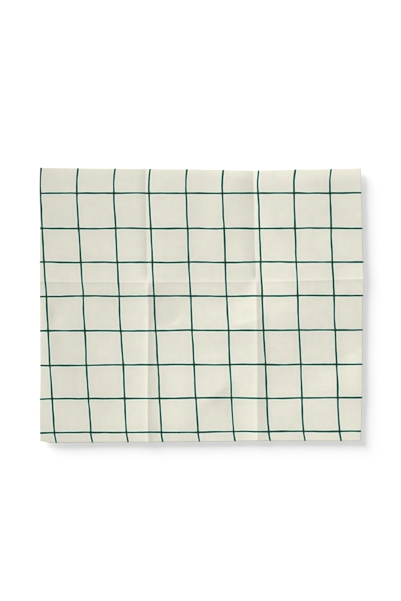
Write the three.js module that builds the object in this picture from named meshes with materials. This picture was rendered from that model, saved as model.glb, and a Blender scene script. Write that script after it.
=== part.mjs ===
// A food wrapping cloth: one cut piece of thin waxed cotton, printed with a windowpane check.
// It was kept folded, once across and then in three, and it lies opened out on a flat surface.
// The cloth keeps its creases, stands a little off the surface at its edges and rests on its middle.
// X runs along the longer side, Y along the shorter one and Z up. The surface is at Z = 0.
import * as THREE from "three";

const { clamp, degToRad, lerp, smoothstep } = THREE.MathUtils;

// Driving dimensions, in millimetres, of the cloth as it lies
const WIDTH = 350;
const DEPTH = 296;
const THICKNESS = 1;

// The folded packet: three panels across, and two that meet at the cross fold
const PANELS_ACROSS = 3;
const PANELS_DOWN = 2;
const FIRST_FOLD_X = { bottom: -57.6, cross: -57.7, top: -59.7 };
const SECOND_FOLD_X = { bottom: 61.2, cross: 60, top: 57.2 };
const CROSS_FOLD_Y = { left: 25.6, first: 25, second: 25.6, right: 28.5 };

// How far the cut edges wander from a true rectangle: at is the place along the edge
const LEFT_EDGE = [
  { at: -148, offset: 1 },
  { at: -120, offset: 0.5 },
  { at: -75, offset: 1.3 },
  { at: 60, offset: 0.5 },
  { at: 95, offset: 0.7 },
  { at: 130, offset: 0.4 },
  { at: 148, offset: 0.9 },
];
const RIGHT_EDGE = [
  { at: -148, offset: -0.9 },
  { at: -118, offset: -0.5 },
  { at: -95, offset: 0.4 },
  { at: -5, offset: 0.6 },
  { at: 24, offset: 1.9 },
  { at: 75, offset: -0.4 },
  { at: 148, offset: -0.8 },
];
const BOTTOM_EDGE = [
  { at: -175, offset: 0.6 },
  { at: -162, offset: -1 },
  { at: -90, offset: -0.1 },
  { at: 10, offset: 0.4 },
  { at: 60, offset: 1.3 },
  { at: 175, offset: 1.2 },
];
const TOP_EDGE = [
  { at: -175, offset: 0.9 },
  { at: -90, offset: 0.2 },
  { at: -20, offset: -0.5 },
  { at: 59, offset: -2 },
  { at: 115, offset: -1 },
  { at: 175, offset: 0.3 },
];

// How high the cloth stands at its left edge, its two long folds and its right edge, in each half and
// on the cross fold. The outer panels fall to the folds by a power of the distance.
const LEVELS = {
  above: { left: 5.5, first: 1.7, second: 4.2, right: 4.5, leftPower: 2.8, rightPower: 2.5 },
  cross: { left: 6.5, first: 1.7, second: 2.9, right: 5.3, leftPower: 2.6, rightPower: 1.6 },
  below: { left: 3.4, first: -0.6, second: -0.6, right: 2.2, leftPower: 1.1, rightPower: 1 },
};
const CROSS_REACH = { above: 20, below: 30 };

// How far the lowest ground would sink, were the surface not there, and how softly it leaves that
const SETTLING = 0.5;
const TOUCH_EASE = 0.8;

// Each long fold is a straight-sided roll with a sharp core on its line, each with its own height and
// its reach on either side: a valley above the cross fold and a ridge below it
const FIRST_FOLD = {
  above: { roll: -0.3, rollLeft: 7, rollRight: 40, core: -0.6, coreLeft: 3.5, coreRight: 4 },
  below: { roll: 0.4, rollLeft: 20, rollRight: 12, core: 1.2, coreLeft: 3.5, coreRight: 4 },
};
const SECOND_FOLD = {
  above: { roll: -0.9, rollLeft: 18, rollRight: 55, core: -1.2, coreLeft: 6.5, coreRight: 3 },
  below: { roll: 1.3, rollLeft: 30, rollRight: 15, core: 0.8, coreLeft: 3, coreRight: 5 },
};
const CROSSING_REACH = { roll: 20, core: 8 };

// How much higher the ends stand at the bottom and the top edge, and where their rise starts. The
// corners have a share of it, and the bottom edge curls down again towards its left corner.
const END_LIFT = { bottom: 6.4, bottomFrom: 4, top: 2.4, topFrom: 70 };
const END_LIFT_CURVE = 1.15;
const CORNER_SHARE = 0.47;
const BOTTOM_CURL = { left: 1.2, reach: 30 };

// Swellings and hollows from handling, each a soft oval that is turned anticlockwise from X
const SWELLINGS = [
  // Where the first fold meets the cross fold, and the low ground on which the cloth rests
  { x: -54, y: 12, along: 12, across: 26, turn: 25, height: 2.2 },
  { x: -20, y: -8, along: 60, across: 32, turn: 170, height: -2.4 },
  // The upper middle panel, with a dip in its cut edge
  { x: 0, y: 85, along: 35, across: 10, turn: 90, height: -0.8 },
  { x: 5, y: 40, along: 40, across: 17, turn: 0, height: -1.2 },
  { x: 30, y: 128, along: 20, across: 10, turn: 90, height: 1 },
  { x: 36, y: 150, along: 17, across: 6, turn: -15, height: -1.8 },
  // Where the second fold meets the cross fold
  { x: 37, y: -21, along: 44, across: 13, turn: 8, height: 1 },
  // The lower middle panel, with its long slanting crumple and a short one above it
  { x: 15, y: -99, along: 20, across: 12, turn: 57, height: 1.4 },
  { x: 21, y: -60, along: 9, across: 8, turn: 0, height: 0.9 },
  { x: -18, y: -108, along: 30, across: 9, turn: 90, height: 0.7 },
  { x: 48, y: -127, along: 24, across: 9, turn: 120, height: -1.7 },
  // The right panels: their slack middle, the upper one's corners, and the edge of the lower one
  { x: 110, y: 5, along: 50, across: 30, turn: 50, height: 4 },
  { x: 155, y: -15, along: 26, across: 20, turn: 70, height: 2 },
  { x: 150, y: 40, along: 11, across: 25, turn: 50, height: -2 },
  { x: 80, y: 75, along: 30, across: 12, turn: 125, height: 2.3 },
  { x: 122, y: 116, along: 30, across: 15, turn: -40, height: 2.3 },
  { x: 172, y: -66, along: 32, across: 7, turn: 90, height: 1.5 },
  { x: 149, y: -93, along: 15, across: 10, turn: 140, height: 1.3 },
  // The left panels, which are slack along the lower half of their edge
  { x: -160, y: -60, along: 45, across: 25, turn: 90, height: 2.3 },
  { x: -167, y: -25, along: 22, across: 8, turn: 95, height: 1.6 },
  { x: -95, y: -116, along: 12, across: 17, turn: 145, height: -0.6 },
];

// Facets: columns in a panel's width and rows in a panel's depth, closest together at the creases
const COLUMNS = 15;
const ROWS = 19;
const CROWDING = 0.72;

// The value of an edge's table at a place along it, eased from row to row
function wander(rows, at) {
  const next = rows.findIndex((row) => at <= row.at);
  if (next === 0) return rows[0].offset;
  if (next < 0) return rows.at(-1).offset;
  const [before, after] = [rows[next - 1], rows[next]];
  return lerp(before.offset, after.offset, smoothstep(at, before.at, after.at));
}

// The value at a place that is counted in panels, straight from line to line
function between(lines, panels) {
  const first = Math.min(Math.floor(panels), lines.length - 2);
  return lerp(lines[first], lines[first + 1], panels - first);
}

// Moves a place that is counted in even panels towards the nearest crease
function crowd(panels) {
  return panels - (CROWDING * Math.sin(2 * Math.PI * panels)) / (2 * Math.PI);
}

// Holds a level on the surface where it would sink, with a soft start to what rises from it
function touch(level) {
  if (level <= 0) return 0;
  return level < TOUCH_EASE ? level ** 2 / (2 * TOUCH_EASE) : level - TOUCH_EASE / 2;
}

// 1 on a line and 0 from the reach on: straight for three fifths of the way, then a parabola
function flank(distance, reach) {
  const share = clamp(distance / reach, 0, 1);
  return share < 0.6 ? 1 - 1.25 * share : 1.5625 * (1 - share) ** 2;
}

// The level of the panels, straight between the folds and falling to them in the outer panels
function levelAt({ left, first, second, right, leftPower, rightPower }, across) {
  if (across < 1) return lerp(first, left, (1 - across) ** leftPower);
  if (across > 2) return lerp(second, right, (across - 2) ** rightPower);
  return lerp(first, second, across - 1);
}

// The height of one half's fold at a distance from its line, to the left where that is negative
function foldSection({ roll, rollLeft, rollRight, core, coreLeft, coreRight }, distance) {
  const away = Math.abs(distance);
  const rollReach = distance < 0 ? rollLeft : rollRight;
  const coreReach = distance < 0 ? coreLeft : coreRight;
  return { roll: roll * flank(away, rollReach), core: core * Math.exp(-away / coreReach) };
}

// The height of a long fold, which passes from the lower half's section to the upper half's
function foldHeight(fold, distance, fromCross) {
  const above = foldSection(fold.above, distance);
  const below = foldSection(fold.below, distance);
  const rolled = smoothstep(fromCross, -CROSSING_REACH.roll, CROSSING_REACH.roll);
  const sharp = smoothstep(fromCross, -CROSSING_REACH.core, CROSSING_REACH.core);
  return lerp(below.roll, above.roll, rolled) + lerp(below.core, above.core, sharp);
}

// A soft oval swelling, highest in its middle
function swelling({ x, y, along, across, turn, height }, px, py) {
  const angle = degToRad(turn);
  const [dx, dy] = [px - x, py - y];
  const a = (dx * Math.cos(angle) + dy * Math.sin(angle)) / along;
  const b = (dy * Math.cos(angle) - dx * Math.sin(angle)) / across;
  return height * Math.exp(-(a * a + b * b) / 2);
}

// The rise of the ends, less at the corners, and the curl along the bottom edge
function endHeight(x, y, across) {
  const outer = clamp(Math.abs(across - PANELS_ACROSS / 2) - 0.5, 0, 1);
  const share = lerp(1, CORNER_SHARE, outer);
  const fall = clamp((END_LIFT.bottomFrom - y) / (DEPTH / 2 + END_LIFT.bottomFrom), 0, 1);
  const rise = clamp((y - END_LIFT.topFrom) / (DEPTH / 2 - END_LIFT.topFrom), 0, 1);
  const bottom = END_LIFT.bottom * fall ** END_LIFT_CURVE;
  const top = END_LIFT.top * rise ** END_LIFT_CURVE;
  const curling = clamp(1 - (y + DEPTH / 2) / BOTTOM_CURL.reach, 0, 1) ** 2;
  return share * (bottom + top) - BOTTOM_CURL.left * (0.5 - x / WIDTH) * curling;
}

// The height of the underside at a point, from its distances to the fold lines
function standing(x, y, across, fromFirst, fromSecond, fromCross) {
  const half = fromCross > 0 ? "above" : "below";
  const away = Math.abs(fromCross);
  const crossShare =
    fromCross > 0 ? flank(away, CROSS_REACH.above) : Math.exp(-away / CROSS_REACH.below);
  const level = lerp(levelAt(LEVELS[half], across), levelAt(LEVELS.cross, across), crossShare);

  const nearFirst = Math.abs(fromFirst) < Math.abs(fromSecond);
  const upright = nearFirst
    ? foldHeight(FIRST_FOLD, fromFirst, fromCross)
    : foldHeight(SECOND_FOLD, fromSecond, fromCross);
  const uneven = SWELLINGS.reduce((sum, row) => sum + swelling(row, x, y), 0);
  return touch(level + upright + endHeight(x, y, across) + uneven - SETTLING);
}

// Where a point of the flat cloth lies: across and down are counted in panels, from bottom left
function lie(across, down) {
  const nominalX = between([-WIDTH / 2, FIRST_FOLD_X.cross, SECOND_FOLD_X.cross, WIDTH / 2], across);
  const nominalY = between([-DEPTH / 2, CROSS_FOLD_Y.first, DEPTH / 2], down);
  const first = between(Object.values(FIRST_FOLD_X), down);
  const second = between(Object.values(SECOND_FOLD_X), down);
  const cross = between(Object.values(CROSS_FOLD_Y), across);

  const left = -WIDTH / 2 + wander(LEFT_EDGE, nominalY);
  const right = WIDTH / 2 + wander(RIGHT_EDGE, nominalY);
  const bottom = -DEPTH / 2 + wander(BOTTOM_EDGE, nominalX);
  const top = DEPTH / 2 + wander(TOP_EDGE, nominalX);
  const x = between([left, first, second, right], across);
  const y = between([bottom, cross, top], down);
  return new THREE.Vector3(x, y, standing(x, y, across, x - first, x - second, y - cross));
}

// The cloth, a thin block whose upper and lower faces are both laid along the folds
function clothGeometry() {
  const block = new THREE.BoxGeometry(
    PANELS_ACROSS,
    PANELS_DOWN,
    THICKNESS,
    PANELS_ACROSS * COLUMNS,
    PANELS_DOWN * ROWS,
    1,
  ).translate(PANELS_ACROSS / 2, PANELS_DOWN / 2, THICKNESS / 2);
  const points = block.getAttribute("position");
  for (let i = 0; i < points.count; i++) {
    const place = lie(crowd(points.getX(i)), crowd(points.getY(i)));
    points.setXYZ(i, place.x, place.y, place.z + points.getZ(i));
  }
  block.computeVertexNormals();
  return block;
}

// The origin is under the middle of the cloth, so its box is centred on it
function centred(geometry) {
  geometry.computeBoundingBox();
  const middle = geometry.boundingBox.getCenter(new THREE.Vector3());
  return geometry.translate(-middle.x, -middle.y, 0);
}

const waxedCotton = new THREE.MeshStandardMaterial({
  color: new THREE.Color().setRGB(0.87, 0.86, 0.8, THREE.SRGBColorSpace),
  roughness: 0.55,
  metalness: 0,
});

const cloth = new THREE.Mesh(centred(clothGeometry()), waxedCotton);
cloth.name = "cloth";

const wrappingCloth = new THREE.Group();
wrappingCloth.add(cloth);

export default wrappingCloth;
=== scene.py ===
import math

import bpy
import numpy as np
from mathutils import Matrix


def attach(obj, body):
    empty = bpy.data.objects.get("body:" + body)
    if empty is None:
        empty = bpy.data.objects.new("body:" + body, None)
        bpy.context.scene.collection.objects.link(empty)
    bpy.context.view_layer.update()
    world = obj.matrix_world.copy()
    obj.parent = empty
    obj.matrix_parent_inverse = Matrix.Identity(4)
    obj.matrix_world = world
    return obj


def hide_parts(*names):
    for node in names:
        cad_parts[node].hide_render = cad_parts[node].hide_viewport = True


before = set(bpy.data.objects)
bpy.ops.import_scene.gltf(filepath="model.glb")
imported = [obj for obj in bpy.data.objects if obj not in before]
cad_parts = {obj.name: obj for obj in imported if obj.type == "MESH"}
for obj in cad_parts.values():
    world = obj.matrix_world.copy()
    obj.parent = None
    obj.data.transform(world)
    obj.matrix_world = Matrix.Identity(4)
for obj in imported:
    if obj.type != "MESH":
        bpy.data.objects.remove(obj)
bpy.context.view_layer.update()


# The cloth. It is one rectangle of thin plain-woven cotton, cut with a straight blade, printed on its
# upper side with thin green lines and then waxed, so that its cut edges need no hem. It was kept folded
# once across and then in three, and opened out it keeps its creases: valleys above, ridges below.
# Its sizes are in millimetres from the middle of the cloth, and become metres in the mesh. The flat size,
# which it has before folding, is in metres.
WIDTH = 350
DEPTH = 296
THICKNESS = 0.45
MILLIMETRE = 0.001

# Where the folds run: the places along each line, and how far it is to the right of or above the middle.
FIRST_FOLD_LINE = (
    [-148, -83, -47, -17, 18, 32, 57, 94, 148],
    [-57.6, -57.7, -57.4, -57.1, -57.7, -57.9, -58.6, -59.4, -59.7],
)
SECOND_FOLD_LINE = (
    [-148, -83, -47, 0, 18, 36, 72, 95, 148],
    [61.2, 60.8, 60.8, 60.2, 59.8, 60.0, 59.0, 58.1, 57.2],
)
CROSS_FOLD_LINE = (
    [-175, -112, -75, -33, 6, 40, 84, 121, 175],
    [25.6, 25.3, 25.0, 25.0, 25.2, 25.3, 26.1, 27.0, 28.5],
)

# The edges and folds as they would be if all were straight, by which a place along a line is found.
EVEN_X = [-WIDTH / 2, -58, 60, WIDTH / 2]
EVEN_Y = [-DEPTH / 2, 25, DEPTH / 2]

# The folds also waver, by three sine waves: each one's length, its share, and how many times it takes
# the fold's own phase.
FOLD_WAVER = 0.15
WAVES = [(31, 1, 1), (13, 0.6, 2.3), (5.7, 0.4, 4.1)]
FIRST_PHASE = 0.4
SECOND_PHASE = 2.9
CROSS_PHASE = 1.7

# How far each cut edge wanders from a straight line: the places along it, and the offsets there.
LEFT_EDGE = ([-148, -120, -75, 60, 95, 130, 148], [1.0, 0.5, 1.3, 0.5, 0.7, 0.4, 0.9])
RIGHT_EDGE = ([-148, -118, -93, -5, 24, 75, 148], [-1.6, -0.6, 0.2, 0.6, 1.8, 0.1, -1.4])
BOTTOM_EDGE = ([-175, -162, -90, 10, 60, 175], [0.8, -1.2, -0.6, 0.1, 1.0, 0.8])
TOP_EDGE = ([-175, -90, -20, 59, 115, 175], [0.9, 0.2, -0.5, -2.0, -1.0, 0.3])

# The level of the cloth at the left edge, the two long folds and the right edge: above the cross fold,
# on its line and below it. The last two numbers of a row are the powers of the distance by which the
# left and the right panel rise from their folds. From the line, the level passes to the upper panels'
# over one reach and to the lower ones' over the other, and the line has a low sharp core of its own,
# given by its height and its reach.
LEVEL_ABOVE = (5.5, 1.7, 4.2, 4.5, 2.8, 2.5)
LEVEL_ON_LINE = (6.5, 1.7, 2.9, 5.3, 2.6, 1.6)
LEVEL_BELOW = (3.4, -0.6, -0.6, 2.2, 1.1, 1)
REACH_ABOVE = 20
REACH_BELOW = 30
CROSS_CORE = (0.25, 1.4)

# Each long fold is a straight-sided roll with a sharp core on its line: the roll's height and its reach
# to the left and right, and the same for the core. Valleys are negative and ridges positive. A roll's
# first part is straight, and over the cross fold the roll and the core turn from ridge to valley.
STRAIGHT_SHARE = 0.6
FIRST_FOLD = {"above": (-0.4, 9, 20, -0.6, 3.5, 5), "below": (0.4, 20, 12, 1.2, 3.5, 5)}
SECOND_FOLD = {"above": (-0.9, 18, 55, -1.2, 6.5, 3), "below": (1.3, 30, 17, 0.8, 3, 7)}
ROLL_CROSSING = 20
CORE_CROSSING = 8

# How much higher the ends stand at the bottom and the top edge, and where their rise starts. It grows by
# a power, and the corners have a share of it. The last stretch of an end curls down again: by how much
# at the left and the right edge, and from how far in.
BOTTOM_LIFT = (6.4, 4)
TOP_LIFT = (2.6, 70)
LIFT_CURVE = 1.15
CORNER_SHARE = 0.47
BOTTOM_CURL = (1.2, 0, 30)
TOP_CURL = (0.2, 0.8, 8)

# Swellings and hollows from handling: the place, the half lengths along and across, the turn
# anticlockwise from the long side in degrees, and the height.
SWELLINGS = [
    # Where the first fold meets the cross fold, and the low ground to the lower right of there
    (-54, 12, 12, 26, 25, 2.2),
    (-45, -15, 70, 20, 135, -1),
    # The upper middle panel, with a dip in its cut edge
    (0, 85, 35, 10, 90, -0.8),
    (5, 40, 40, 17, 0, -1.2),
    (30, 128, 20, 10, 90, 1),
    (36, 150, 17, 6, -15, -1.8),
    # Where the second fold meets the cross fold
    (66, 14, 29, 3, 90, -0.6),
    (56, 18, 17, 7, 30, -0.8),
    (37, -21, 44, 13, 8, 1),
    # The lower middle panel, on both sides of its long crinkle
    (-18, -108, 30, 9, 90, 0.7),
    (48, -127, 24, 9, 120, -1.7),
    # The right panels: their slack middle, the upper one's corners, and the edge of the lower one
    (110, 5, 50, 30, 50, 4),
    (155, -15, 26, 20, 70, 2),
    (150, 40, 11, 25, 50, -2),
    (80, 75, 30, 12, 125, 2.3),
    (122, 116, 30, 15, -40, 2),
    (130, 136, 40, 6, 0, 0.7),
    (174, -68, 30, 10, 90, 1.6),
    (149, -93, 15, 10, 140, 1.3),
    # The left panels, which are slack along the lower half of their edge
    (-160, -60, 45, 25, 90, 2.3),
    (-167, -25, 22, 8, 95, 1.6),
    (-161, -17, 10, 6, 80, -0.9),
    (-95, -116, 12, 17, 145, -0.6),
]

# Crinkles, each a small straight ridge or valley: its two ends, its reach to the left and the right of
# the way from the first to the second, and its height. Their crests are rounded by a share of the reach.
CREST_ROUNDING = 0.35
CRINKLES = [
    # The long slanting one in the lower middle panel, and the sharper crest on it
    (-4, -116, 32, -79, 15, 10, 1.05),
    (3, -105, 31, -83.5, 1.8, 6, 0.25),
    # A short one above it, and one that runs into the second fold
    (6, -58, 31, -57, 2.5, 12, 0.5),
    (34, -22, 62, -14.5, 1.4, 8, 0.6),
    # A pinch where the second fold meets the cross fold, and one at the end of the dent's rim
    (51, 46, 59, 27, 2.5, 4, 0.35),
    (-26, -24, -18, -18.5, 1.8, 8, 0.3),
    # A valley that runs out over the right edge
    (154, -57, 177, -45, 5, 14, -0.6),
]

# A dent left by a thumb, deepest at a steep rim: its middle, its radius, the width of the rim, the
# direction of the rim anticlockwise from the long side in degrees, and its depth.
DENT = (-41, -2.5, 21.5, 2.4, -74, 0.4)

# The mesh: columns in each of the three panels across, and rows in each of the two down, closest
# together at the creases and the edges.
COLUMNS = 78
ROWS = 98
CROWDING = 0.58


def crowd(panels):
    """A place counted in even panels, moved towards the nearest crease by a share of a sine wave."""
    return panels - CROWDING * np.sin(2 * np.pi * panels) / (2 * np.pi)


def cubic_ease(share):
    """0 to 1 with level ends: three times the square of the share, less twice its cube."""
    return share * share * (3 - 2 * share)


def wander(line, at):
    """The offset of an edge or a fold at a place along it: a cubic ease between the places given."""
    places, offsets = np.array(line, float)
    row = np.clip(np.searchsorted(places, at) - 1, 0, len(places) - 2)
    share = np.clip((at - places[row]) / (places[row + 1] - places[row]), 0, 1)
    return offsets[row] + (offsets[row + 1] - offsets[row]) * cubic_ease(share)


def waver(at, phase):
    """A fold line's drift from straight: sine waves of unlike length, each by its share, added."""
    return FOLD_WAVER * sum(share * np.sin(at / length + turn * phase) for length, share, turn in WAVES)


def share_above(from_cross, reach):
    """How far a point is above the cross fold, from 0 to 1, by a cubic ease over twice the reach."""
    return cubic_ease(np.clip(from_cross / (2 * reach) + 0.5, 0, 1))


def flank(away, reach):
    """1 on a line and 0 from the reach on: straight at first, then a parabola that meets the straight
    part with the same slope and ends level."""
    share = np.clip(away / reach, 0, 1)
    straight = 1 - share * 2 / (1 + STRAIGHT_SHARE)
    parabola = (1 - share) ** 2 / (1 - STRAIGHT_SHARE**2)
    return np.where(share < STRAIGHT_SHARE, straight, parabola)


def fold_height(fold, from_line, from_cross):
    """A long fold's height: a straight-sided roll, and a core that dies away exponentially from the
    line. Over the crossing, each passes from the lower half's values to the upper half's."""
    away = np.abs(from_line)
    left = from_line < 0
    total = 0
    for half, sign in (("below", -1), ("above", 1)):
        roll, roll_left, roll_right, core, core_left, core_right = fold[half]
        rolled = roll * flank(away, np.where(left, roll_left, roll_right))
        sharp = core * np.exp(-away / np.where(left, core_left, core_right))
        total += rolled * share_above(sign * from_cross, ROLL_CROSSING)
        total += sharp * share_above(sign * from_cross, CORE_CROSSING)
    return total


def level_at(levels, across):
    """The panels' level: straight between the folds, and a power of the way out in the outer panels."""
    left, first, second, right, left_power, right_power = levels
    outer_left = first + (left - first) * np.clip(1 - across, 0, 1) ** left_power
    outer_right = second + (right - second) * np.clip(across - 2, 0, 1) ** right_power
    inner = first + (second - first) * (across - 1)
    return np.select([across < 1, across < 2], [outer_left, inner], outer_right)


def swelling(row, x, y):
    """A soft oval: its height times a bell curve of the distance in half lengths along and across."""
    middle_x, middle_y, along, across, turn, height = row
    angle = math.radians(turn)
    dx = x - middle_x
    dy = y - middle_y
    a = (dx * math.cos(angle) + dy * math.sin(angle)) / along
    b = (dy * math.cos(angle) - dx * math.sin(angle)) / across
    return height * np.exp(-(a * a + b * b) / 2)


def crinkle(row, x, y):
    """A straight ridge between two ends: its height falls away exponentially from the line, with a reach
    of its own on each side and a rounded crest, and along the line by a bell curve from the middle."""
    first_x, first_y, last_x, last_y, reach_left, reach_right, height = row
    length = math.hypot(last_x - first_x, last_y - first_y)
    way_x = (last_x - first_x) / length
    way_y = (last_y - first_y) / length
    dx = x - (first_x + last_x) / 2
    dy = y - (first_y + last_y) / 2
    along = (dx * way_x + dy * way_y) / (length / 2)
    aside = dy * way_x - dx * way_y
    reach = np.where(aside > 0, reach_left, reach_right)
    return height * np.exp(-along * along - np.hypot(aside / reach, CREST_ROUNDING) + CREST_ROUNDING)


def dent(x, y):
    """A round hollow with a steep rim on one side: its depth grows from the middle to the rim by a cubic
    ease, and ends there by another over the rim's width."""
    middle_x, middle_y, radius, rim, turn, depth = DENT
    angle = math.radians(turn)
    dx = x - middle_x
    dy = y - middle_y
    towards = np.clip((dx * math.cos(angle) + dy * math.sin(angle)) / radius, 0, 1)
    inside = np.clip((radius - np.hypot(dx, dy)) / rim + 0.5, 0, 1)
    return -depth * cubic_ease(towards) * cubic_ease(inside)


def plan(across, down):
    """Each point's x and y, which run straight from line to line, and how far it is from the first and
    second folds, from the cross fold, and in from the bottom and top edges. Across and down are
    counted in panels from the bottom left corner of the flat cloth."""
    even_x = np.interp(across, range(4), EVEN_X)
    even_y = np.interp(down, range(3), EVEN_Y)
    first = wander(FIRST_FOLD_LINE, even_y) + waver(even_y, FIRST_PHASE)
    second = wander(SECOND_FOLD_LINE, even_y) + waver(even_y, SECOND_PHASE)
    cross = wander(CROSS_FOLD_LINE, even_x) + waver(even_x, CROSS_PHASE)
    left = -WIDTH / 2 + wander(LEFT_EDGE, even_y)
    right = WIDTH / 2 + wander(RIGHT_EDGE, even_y)
    bottom = -DEPTH / 2 + wander(BOTTOM_EDGE, even_x)
    top = DEPTH / 2 + wander(TOP_EDGE, even_x)

    from_left = np.select([across < 1, across < 2], [left, first], second)
    to_right = np.select([across < 1, across < 2], [first, second], right)
    x = from_left + (to_right - from_left) * (across - np.minimum(np.floor(across), 2))
    from_bottom = np.where(down < 1, bottom, cross)
    to_top = np.where(down < 1, cross, top)
    y = from_bottom + (to_top - from_bottom) * (down - np.minimum(np.floor(down), 1))
    return x, y, x - first, x - second, y - cross, y - bottom, top - y


def end_rise(across, x, y, from_bottom, from_top):
    """How much higher the two ends stand: a power of the way out, less of it across the outer panels
    towards the corners, minus a parabola over the last stretch, whose size changes evenly from left
    to right."""
    from_centre = np.abs(across - 1.5)
    outward = np.clip(from_centre - 0.5, 0, 1)
    bottom_height, bottom_start = BOTTOM_LIFT
    top_height, top_start = TOP_LIFT
    downward = np.clip((bottom_start - y) / (DEPTH / 2 + bottom_start), 0, 1)
    upward = np.clip((y - top_start) / (DEPTH / 2 - top_start), 0, 1)
    rise = bottom_height * downward**LIFT_CURVE + top_height * upward**LIFT_CURVE
    rise *= 1 - (1 - CORNER_SHARE) * outward
    rightward = x / WIDTH + 0.5
    for (at_left, at_right, reach), inward in ((BOTTOM_CURL, from_bottom), (TOP_CURL, from_top)):
        rise -= (at_left + (at_right - at_left) * rightward) * np.clip(1 - inward / reach, 0, 1) ** 2
    return rise


def laid(across, down):
    """Where the points of the flat cloth lie. Each one's height is the level of its panel, the folds,
    the rise of the ends, the swellings, the crinkles and the dent, added, and all are lowered until the
    lowest one rests on the surface. The last array is the distance from the nearest fold."""
    x, y, from_first, from_second, from_cross, from_bottom, from_top = plan(across, down)
    line = level_at(LEVEL_ON_LINE, across)
    panel_above = level_at(LEVEL_ABOVE, across)
    panel_below = level_at(LEVEL_BELOW, across)
    away = np.abs(from_cross)
    z = np.where(
        from_cross > 0,
        panel_above + (line - panel_above) * flank(away, REACH_ABOVE),
        panel_below + (line - panel_below) * np.exp(-away / REACH_BELOW),
    )
    core_height, core_reach = CROSS_CORE
    z += core_height * np.exp(-away / core_reach)
    z += np.where(
        np.abs(from_first) < np.abs(from_second),
        fold_height(FIRST_FOLD, from_first, from_cross),
        fold_height(SECOND_FOLD, from_second, from_cross),
    )
    z += end_rise(across, x, y, from_bottom, from_top)
    z += sum(swelling(row, x, y) for row in SWELLINGS)
    z += sum(crinkle(row, x, y) for row in CRINKLES)
    z += dent(x, y)
    near_fold = np.minimum(np.minimum(np.abs(from_first), np.abs(from_second)), away)
    return x, y, z - z.min(), near_fold


def flat_place(place, steps, axis):
    """A coordinate on the flat cloth: the laid one on the middle row or column, and from there the
    lengths of the steps added up."""
    start = [(0, 0), (0, 0)]
    start[axis] = (1, 0)
    total = np.pad(np.cumsum(steps, axis=axis), start)
    middle = [total.shape[axis] // 2]
    return total - np.take(total, middle, axis=axis) + np.take(place, middle, axis=axis)


def cloth_mesh():
    """A closed sheet: the underside's grid, the upper side's grid one thickness off it along its
    normals, and a rim between their borders. The map is the flat cloth, in metres from its middle,
    by adding up the lengths of the steps along each row and column. Two values go with each point:
    whether it is on the printed side, and its distance from the nearest fold."""
    across, down = np.meshgrid(
        crowd(np.linspace(0, 3, 3 * COLUMNS + 1)),
        crowd(np.linspace(0, 2, 2 * ROWS + 1)),
        indexing="ij",
    )
    x, y, z, near_fold = laid(across, down)
    x -= (x.min() + x.max()) / 2
    y -= (y.min() + y.max()) / 2
    under = np.stack([x, y, z], axis=-1)
    along = np.gradient(under, axis=0)
    upward = np.cross(along, np.gradient(under, axis=1))
    upward /= np.linalg.norm(upward, axis=-1, keepdims=True)
    over = under + THICKNESS * upward
    middle = (under + over) / 2

    flat_u = flat_place(x, np.linalg.norm(np.diff(middle, axis=0), axis=-1), 0)
    flat_v = flat_place(y, np.linalg.norm(np.diff(middle, axis=1), axis=-1), 1)
    flat = np.stack([flat_u, flat_v], axis=-1)

    columns, rows = x.shape
    index = np.arange(columns * rows).reshape(columns, rows)
    quads = np.stack([index[:-1, :-1], index[1:, :-1], index[1:, 1:], index[:-1, 1:]], axis=-1)
    quads = quads.reshape(-1, 4)
    border = np.concatenate([index[:-1, 0], index[-1, :-1], index[:0:-1, -1], index[0, :0:-1]])
    count = columns * rows
    rim = np.stack([border, np.roll(border, -1), np.roll(border, -1) + count, border + count], axis=-1)
    faces = np.concatenate([quads[:, ::-1], quads + count, rim])

    mesh = bpy.data.meshes.new("cloth_laid")
    points = np.concatenate([under.reshape(-1, 3), over.reshape(-1, 3)]) * MILLIMETRE
    mesh.from_pydata(points, [], faces)
    layout = mesh.uv_layers.new(name="flat_cloth")
    places = np.tile(flat.reshape(-1, 2) * MILLIMETRE, (2, 1))
    layout.data.foreach_set("uv", places[faces.ravel()].astype(np.float32).ravel())
    smooth = np.ones(len(faces), bool)
    smooth[-len(rim) :] = False
    mesh.polygons.foreach_set("use_smooth", smooth)
    side = mesh.attributes.new("printed_side", "FLOAT", "POINT")
    side.data.foreach_set("value", np.repeat([0.0, 1.0], count).astype(np.float32))
    crease = mesh.attributes.new("from_fold", "FLOAT", "POINT")
    crease.data.foreach_set("value", np.tile(near_fold.ravel(), 2).astype(np.float32))
    mesh.update()
    return mesh


cloth_data = cloth_mesh()
cloth = bpy.data.objects.new("wrapping_cloth", cloth_data)
bpy.context.scene.collection.objects.link(cloth)

# The finish: off-white cotton under a satin wax, with the print's ink sunk into the yarns. Beside each
# line the ink has stained the cotton green, and past the stain runs a thin pale fringe.
ROSY_COTTON = (0.658, 0.626, 0.551, 1)
GREENISH_COTTON = (0.632, 0.635, 0.534, 1)
# The pale crease colour: partly wax rubbed white on the folds, partly a painted highlight on their
# crests.
BLANCHED_AND_HIGHLIT_COTTON = (0.80, 0.785, 0.70, 1)
PALE_FRINGE = (0.72, 0.84, 0.78, 1)
GREEN_STAIN = (0.0, 0.4, 0.25, 1)
INK = (0.0, 0.008, 0.0, 1)

# Its upright lines start at the left, lean over to the right as they go down, by a power of the depth
# and less for each next line, and hook over at their ends. A hook is given by where it starts, the
# length over which it grows to its size, its power and that size.
UPRIGHT_START = -175.1
UPRIGHT_PITCH = 39.41
UPRIGHT_LEAN = 15.77
UPRIGHT_LEAN_STEP = 0.625
LEAN_FROM = 130.2
LEAN_DEPTH = 274.1
LEAN_CURVE = 1.15
TOP_HOOK = (134, 13, 1.5, 1.15)
BOTTOM_HOOK = (-139, 9, 1.3, 1.0)

# Its level lines start at the top and rise a little to the right, each by this much more than the last.
LEVEL_START = 121.8
LEVEL_PITCH = 37.2
LEVEL_TILT = 0.21

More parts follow.
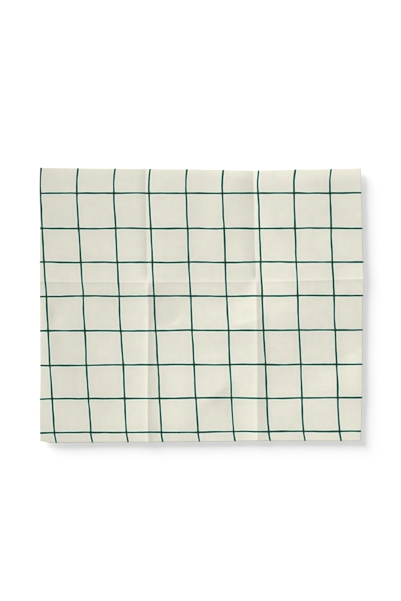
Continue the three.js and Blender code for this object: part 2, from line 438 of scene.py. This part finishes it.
# How far each line is to the right of or above its even place.
UPRIGHT_OFFSETS = [-0.2, 0.2, 0.4, -0.4, 0.2, 0.2, -0.2, -0.9, -1]
LEVEL_OFFSETS = [0, -1.1, -0.7, -0.4, -0.7, -0.9, 0.1, 0.5]

# All lines have the slow and the quick wobble of lines drawn by hand. Each takes it from rows of the
# noise that lie this far apart, and with these waves for each millimetre.
SLOW_WOBBLE = 0.9
QUICK_WOBBLE = 0.16
UPRIGHT_ROWS = (61.7, 37.1)
UPRIGHT_WAVES = (0.022, 0.11)
LEVEL_ROWS = (53.3, 29.9)
LEVEL_WAVES = (0.02, 0.1)

# The width of the printed lines with their stain, and how much it drifts along a line and is ragged at
# its border, with the rows and waves of the noise for both.
LINE_WIDTH = 2.18
WIDTH_DRIFT = 0.28
DRIFT_ROWS = 17.9
DRIFT_FROM = 5
DRIFT_WAVES = 0.05
RAGGEDNESS = 0.06
RAGGED_WAVES = 1.6

# How far inside that border the full ink ends. The border is softer on the underside, where only a share
# of the print shows. The fringe fades between two distances past the border, and the cotton is a little
# darker over a wider reach.
INK_INSET = 0.2
BORDER_SOFTNESS = 0.05
SOFTER_BELOW = 0.3
SHOW_THROUGH = 0.26
INK_COVER = 0.985
FRINGE = (0.2, 1.6)
FRINGE_STRENGTH = 0.85
TINT_REACH = (1, 8)

# The layers of the cotton's unevenness: where the noise is taken from, across and up the cloth, its
# waves for each millimetre and its detail. The streaks are the yarns', drawn out this many times.
CLOUDS = (0, 0, 0.035, 3)
MOTTLE = (-90, 20, 0.12, 3)
HUE = (25, 60, 0.1, 3)
SPECKS = (40, -70, 0.35, 2)
GRAIN = (0, 0, 0.9, 2)
STREAK_WAVES = 1.1
STREAK_LENGTH = 60
HUE_RANGE = 1.4

# The cotton's lightness and roughness: a level, and what each layer adds to it. The across and up terms
# paint a fall-off of the light: the cotton grows lighter to the right and a little towards the top.
LIGHTNESS = {
    "level": 1.005,
    "across": 0.00013,
    "up": 0.00005,
    "clouds": 0.024,
    "mottle": 0.038,
    "specks": 0.022,
    "streaks": 0.018,
    "tint": -0.025,
}
ROUGHNESS = {"level": 0.52, "clouds": -0.05, "specks": 0.03, "creases": 0.12, "ink": 0.3}

# The cotton is paler along the folds, partly from rubbed wax and partly as a painted highlight on their
# crests, less and less between these distances from them: for the most part evenly, and for the rest by
# the grain.
CREASE_REACH = (0.2, 1.3)
CREASE_EVENNESS = 0.6
CREASE_STRENGTH = 0.35

# The weave: its pitch in millimetres, how much of it shows through the wax and how that varies with the
# clouds, and how far the streaks and the grain stand out beside it.
YARN_PITCH = 0.42
WEAVE_SHOWN = 0.55
WEAVE_CLOUDS = 0.3
STREAK_RELIEF = 0.18
GRAIN_RELIEF = 0.12
BUMP_STRENGTH = 0.35
BUMP_HEIGHT = 0.00006

# Which of a node's sockets are meant, where their names don't tell: an Attribute node's value, the Mix
# node's share, two colours and result, and the second part of a place.
VALUE_OUTPUT = 2
MIX_SHARE = 0
MIX_UNDER = 6
MIX_OVER = 7
MIX_RESULT = 2
SECOND_PART = 1


class Wire:
    """An output socket of a shader node. Sums on it add Math nodes to its tree."""

    def __init__(self, socket):
        self.socket = socket

    @staticmethod
    def node(tree, kind, settings, inputs, output=0):
        """Adds a node. Its settings are set first, then its sockets get their values or links."""
        made = tree.nodes.new(kind)
        for name, value in settings.items():
            setattr(made, name, value)
        for place, value in inputs.items():
            if isinstance(value, Wire):
                tree.links.new(value.socket, made.inputs[place])
            else:
                made.inputs[place].default_value = value
        return Wire(made.outputs[output])

    def math(self, operation, *others):
        """A Math node with this value first."""
        inputs = dict(enumerate([self, *others]))
        return Wire.node(self.socket.id_data, "ShaderNodeMath", {"operation": operation}, inputs)

    def swapped(self, operation, other):
        """A Math node with this value second, for the reflected operators."""
        inputs = {0: other, 1: self}
        return Wire.node(self.socket.id_data, "ShaderNodeMath", {"operation": operation}, inputs)

    def __add__(self, other):
        return self.math("ADD", other)

    def __radd__(self, other):
        return self.swapped("ADD", other)

    def __sub__(self, other):
        return self.math("SUBTRACT", other)

    def __rsub__(self, other):
        return self.swapped("SUBTRACT", other)

    def __mul__(self, other):
        return self.math("MULTIPLY", other)

    def __rmul__(self, other):
        return self.swapped("MULTIPLY", other)

    def __truediv__(self, other):
        return self.math("DIVIDE", other)

    def __pow__(self, other):
        return self.math("POWER", other)

    def __abs__(self):
        return self.math("ABSOLUTE")


def noise(tree, x, y, waves, detail=0.0):
    """Soft noise from -1 to 1 at a place given by two values, with this many waves for each unit."""
    place = Wire.node(tree, "ShaderNodeCombineXYZ", {}, {0: x, 1: y})
    inputs = {"Vector": place, "Scale": waves, "Detail": detail}
    value = Wire.node(tree, "ShaderNodeTexNoise", {"noise_dimensions": "2D"}, inputs)
    return (value - 0.5) * 2


def layer(tree, u, v, row):
    """One layer of the cotton's unevenness: noise that is taken a fixed way off across and up."""
    shift_across, shift_up, waves, detail = row
    return noise(tree, u + shift_across, v + shift_up, waves, detail)


def add_up(weights, layers):
    """The level, and each layer times its weight, added."""
    shares = (layers[name] * weight for name, weight in weights.items() if name != "level")
    return sum(shares, weights["level"])


def ease(tree, value, low, high):
    """0 below low, 1 above high and a smooth step between them."""
    inputs = {"Value": value, "From Min": low, "From Max": high}
    return Wire.node(tree, "ShaderNodeMapRange", {"interpolation_type": "SMOOTHSTEP"}, inputs)


def blend(tree, share, under, over):
    """The under colour, with the over colour laid on it by the share."""
    inputs = {MIX_SHARE: share, MIX_UNDER: under, MIX_OVER: over}
    return Wire.node(tree, "ShaderNodeMix", {"data_type": "RGBA"}, inputs, MIX_RESULT)


def own_offset(line, offsets):
    """The offset of a line from its even place: the one in the list at the line's number."""
    return sum(line.math("COMPARE", number, 0.5) * size for number, size in enumerate(offsets) if size)


def wobble(tree, along, line, rows, waves):
    """How far a line strays as a hand would draw it: slow and quick noise along it, added."""
    slow_row, quick_row = rows
    slow_waves, quick_waves = waves
    slow = noise(tree, along, line * slow_row, slow_waves, 1.0) * SLOW_WOBBLE
    return slow + noise(tree, along, line * quick_row, quick_waves) * QUICK_WOBBLE


def power_past(past, length, power, size):
    """0 up to a place, and from there its size times a power of the way past it in lengths."""
    return (past / length).math("MAXIMUM", 0) ** power * size


def upright_line(tree, u, v):
    """The distance from the nearest upright line, and its number. Each line leans by a power of the
    depth below the place where the lean starts, less for each line to the right, and hooks over at
    both ends by a power of the way past the hook's start."""
    top_start, *top_hook = TOP_HOOK
    bottom_start, *bottom_hook = BOTTOM_HOOK
    hooks = power_past(v - top_start, *top_hook) + power_past(bottom_start - v, *bottom_hook)
    depth = power_past(LEAN_FROM - v, LEAN_DEPTH, LEAN_CURVE, 1)
    pitch = UPRIGHT_PITCH - depth * UPRIGHT_LEAN_STEP
    count = (u - UPRIGHT_START - depth * UPRIGHT_LEAN - hooks) / pitch
    line = count.math("ROUND")
    strays = wobble(tree, v, line, UPRIGHT_ROWS, UPRIGHT_WAVES)
    return (count - line) * pitch + strays - own_offset(line, UPRIGHT_OFFSETS), line


def level_line(tree, u, v):
    """The distance from the nearest level line, and its number. The lines tilt up to the right, more for
    each line down, as their pitch narrows evenly from left to right."""
    pitch = LEVEL_PITCH - (u + WIDTH / 2) * (LEVEL_TILT / WIDTH)
    count = (LEVEL_START - v) / pitch
    line = count.math("ROUND")
    strays = wobble(tree, u, line, LEVEL_ROWS, LEVEL_WAVES)
    return (count - line) * pitch + strays + own_offset(line, LEVEL_OFFSETS), line


def past_border(tree, distance, along, line):
    """How far a point is past the border of a line: half its width is taken off the distance from its
    middle. The width varies slowly along it, and its border is ragged at the scale of the yarns."""
    slow = noise(tree, along, line * DRIFT_ROWS + DRIFT_FROM, DRIFT_WAVES, 1.0) * WIDTH_DRIFT
    quick = noise(tree, along, distance, RAGGED_WAVES, 1.0) * RAGGEDNESS
    return abs(distance) - slow - quick - LINE_WIDTH / 2


def weave(tree, u, v):
    """A plain weave's height, from 0 to 1: the higher of the warp and the weft, each round across its
    yarn and lifted where it passes over the other."""
    yarn = math.pi / YARN_PITCH
    warp = (u * yarn).math("SINE")
    weft = (v * yarn).math("SINE")
    over = warp * weft
    return (abs(warp) * (1 + over)).math("MAXIMUM", abs(weft) * (1 - over)) / 2


def waxed_cotton():
    """The cotton's colour is mottled by the wax, paler on the folds, partly from rubbed wax and partly as
    a painted highlight on their crests, and inked on the lines. The ink shows through to the underside,
    paler and softer. The bump is the weave, filled by the wax."""
    material = bpy.data.materials.new("waxed_cotton")
    material.use_nodes = True
    tree = material.node_tree
    shader = tree.nodes["Principled BSDF"]
    flat = Wire.node(tree, "ShaderNodeUVMap", {"uv_map": "flat_cloth"}, {})
    parts = Wire.node(tree, "ShaderNodeSeparateXYZ", {}, {0: flat})
    u = parts / MILLIMETRE
    v = Wire(parts.socket.node.outputs[SECOND_PART]) / MILLIMETRE
    side = Wire.node(tree, "ShaderNodeAttribute", {"attribute_name": "printed_side"}, {}, VALUE_OUTPUT)
    from_fold = Wire.node(tree, "ShaderNodeAttribute", {"attribute_name": "from_fold"}, {}, VALUE_OUTPUT)

    clouds = layer(tree, u, v, CLOUDS)
    mottle = layer(tree, u, v, MOTTLE)
    hue = layer(tree, u, v, HUE)
    specks = layer(tree, u, v, SPECKS)
    grain = layer(tree, u, v, GRAIN)
    warp_streaks = noise(tree, u, v / STREAK_LENGTH, STREAK_WAVES, 1.0)
    weft_streaks = noise(tree, u / STREAK_LENGTH, v, STREAK_WAVES, 1.0)
    streaks = warp_streaks + weft_streaks

    across, upright = upright_line(tree, u, v)
    along, level = level_line(tree, u, v)
    past = past_border(tree, across, v, upright).math("MINIMUM", past_border(tree, along, u, level))
    softness = BORDER_SOFTNESS + (1 - side) * SOFTER_BELOW
    shown = SHOW_THROUGH + side * (1 - SHOW_THROUGH)
    inked = 1 - ease(tree, (past + INK_INSET) / softness, -1, 1)
    stained = 1 - ease(tree, past / softness, -1, 1)
    paled = (1 - ease(tree, past, *FRINGE)) * FRINGE_STRENGTH
    tint = 1 - ease(tree, past, *TINT_REACH)
    rubbed_and_highlit = CREASE_EVENNESS + grain * (1 - CREASE_EVENNESS)
    creases = (1 - ease(tree, from_fold, *CREASE_REACH)) * rubbed_and_highlit

    layers = {
        "across": u,
        "up": v,
        "clouds": clouds,
        "mottle": mottle,
        "specks": specks,
        "streaks": streaks,
        "tint": tint,
        "creases": creases,
        "ink": inked,
    }
    undyed = blend(tree, hue * HUE_RANGE + 0.5, ROSY_COTTON, GREENISH_COTTON)
    # The lightness holds a painted fall-off of the light, lighter to the right and a little towards the
    # top.
    inputs = {0: undyed, "Scale": add_up(LIGHTNESS, layers)}
    cotton = Wire.node(tree, "ShaderNodeVectorMath", {"operation": "SCALE"}, inputs)
    # Paler along the folds: partly rubbed wax, partly a painted highlight on the crests.
    cotton = blend(tree, creases * CREASE_STRENGTH, cotton, BLANCHED_AND_HIGHLIT_COTTON)
    cotton = blend(tree, paled * shown, cotton, PALE_FRINGE)
    cotton = blend(tree, stained * shown, cotton, GREEN_STAIN)
    covered = inked * shown * (INK_COVER + grain * (1 - INK_COVER))
    colour = blend(tree, covered, cotton, INK)

    woven = weave(tree, u, v) * (WEAVE_SHOWN - clouds * WEAVE_CLOUDS)
    height = woven + streaks * STREAK_RELIEF + grain * GRAIN_RELIEF
    inputs = {"Strength": BUMP_STRENGTH, "Distance": BUMP_HEIGHT, "Height": height}
    bump = Wire.node(tree, "ShaderNodeBump", {}, inputs)
    roughness = add_up(ROUGHNESS, layers)
    tree.links.new(colour.socket, shader.inputs["Base Color"])
    tree.links.new(roughness.socket, shader.inputs["Roughness"])
    tree.links.new(bump.socket, shader.inputs["Normal"])
    shader.inputs["Specular IOR Level"].default_value = 0.2
    return material


cloth_data.materials.append(waxed_cotton())
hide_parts("cloth")
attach(cloth, "root")


# The floor: a wide level surface of matt white card, so far across that no edge of it shows. The cloth
# rests on it with its lowest point.
FLOOR_HALF = 14
FLOOR_WHITE = (0.9, 0.9, 0.9, 1)


def white_floor():
    """One square face: four corners, each half the floor's width off the middle in x and y."""
    mesh = bpy.data.meshes.new("floor")
    corners = np.array([[-1, -1, 0], [1, -1, 0], [1, 1, 0], [-1, 1, 0]]) * FLOOR_HALF
    mesh.from_pydata(corners, [], [[0, 1, 2, 3]])
    mesh.update()
    material = bpy.data.materials.new("white_card")
    material.use_nodes = True
    shader = material.node_tree.nodes["Principled BSDF"]
    shader.inputs["Base Color"].default_value = FLOOR_WHITE
    shader.inputs["Roughness"].default_value = 0.95
    shader.inputs["Specular IOR Level"].default_value = 0.1
    mesh.materials.append(material)
    floor = bpy.data.objects.new("floor", mesh)
    bpy.context.scene.collection.objects.link(floor)
    return floor


white_floor()


# The light: a large soft source low over the upper left corner, which draws out the creases and
# throws the soft shadow at the right and bottom edges, and a smaller one almost straight above.
ROOM_LIGHT = 0.12


def soft_sun(name, strength, spread, azimuth, elevation):
    """A sun lamp of the given width in the sky, in degrees. Azimuth is anticlockwise from +X."""
    data = bpy.data.lights.new(name, "SUN")
    data.energy = strength
    data.angle = math.radians(spread)
    lamp = bpy.data.objects.new(name, data)
    lamp.rotation_euler = (0, math.radians(90 - elevation), math.radians(azimuth))
    bpy.context.scene.collection.objects.link(lamp)


soft_sun("low_soft_light", strength=3.47, spread=34, azimuth=135, elevation=22)
soft_sun("high_soft_light", strength=1.87, spread=8, azimuth=135, elevation=86)


def pale_room():
    """A white room that gives a faint light from all sides, and that the camera sees at full white."""
    world = bpy.data.worlds.new("pale_room")
    world.use_nodes = True
    tree = world.node_tree
    seen = Wire.node(tree, "ShaderNodeLightPath", {}, {})
    background = tree.nodes["Background"]
    background.inputs["Color"].default_value = (1, 1, 1, 1)
    tree.links.new((ROOM_LIGHT + seen * (1 - ROOM_LIGHT)).socket, background.inputs["Strength"])
    return world


bpy.context.scene.world = pale_room()
bpy.context.scene.view_settings.view_transform = "Standard"


# The camera: straight above the cloth, a little towards its upper edge, as in the photograph. All is in
# metres but the sensor's width, which is in millimetres. The view's height is what it sees of the
# surface from top to bottom.
CAMERA_HEIGHT = 1.6
CAMERA_PLACE = (-0.0014, 0.0053)
VIEW_HEIGHT = 0.6536
SENSOR = 36

camera_data = bpy.data.cameras.new("camera")
camera_data.sensor_width = SENSOR
camera_data.lens = SENSOR * CAMERA_HEIGHT / VIEW_HEIGHT
camera = bpy.data.objects.new("camera", camera_data)
camera.location = (*CAMERA_PLACE, CAMERA_HEIGHT)
bpy.context.scene.collection.objects.link(camera)
bpy.context.scene.camera = camera
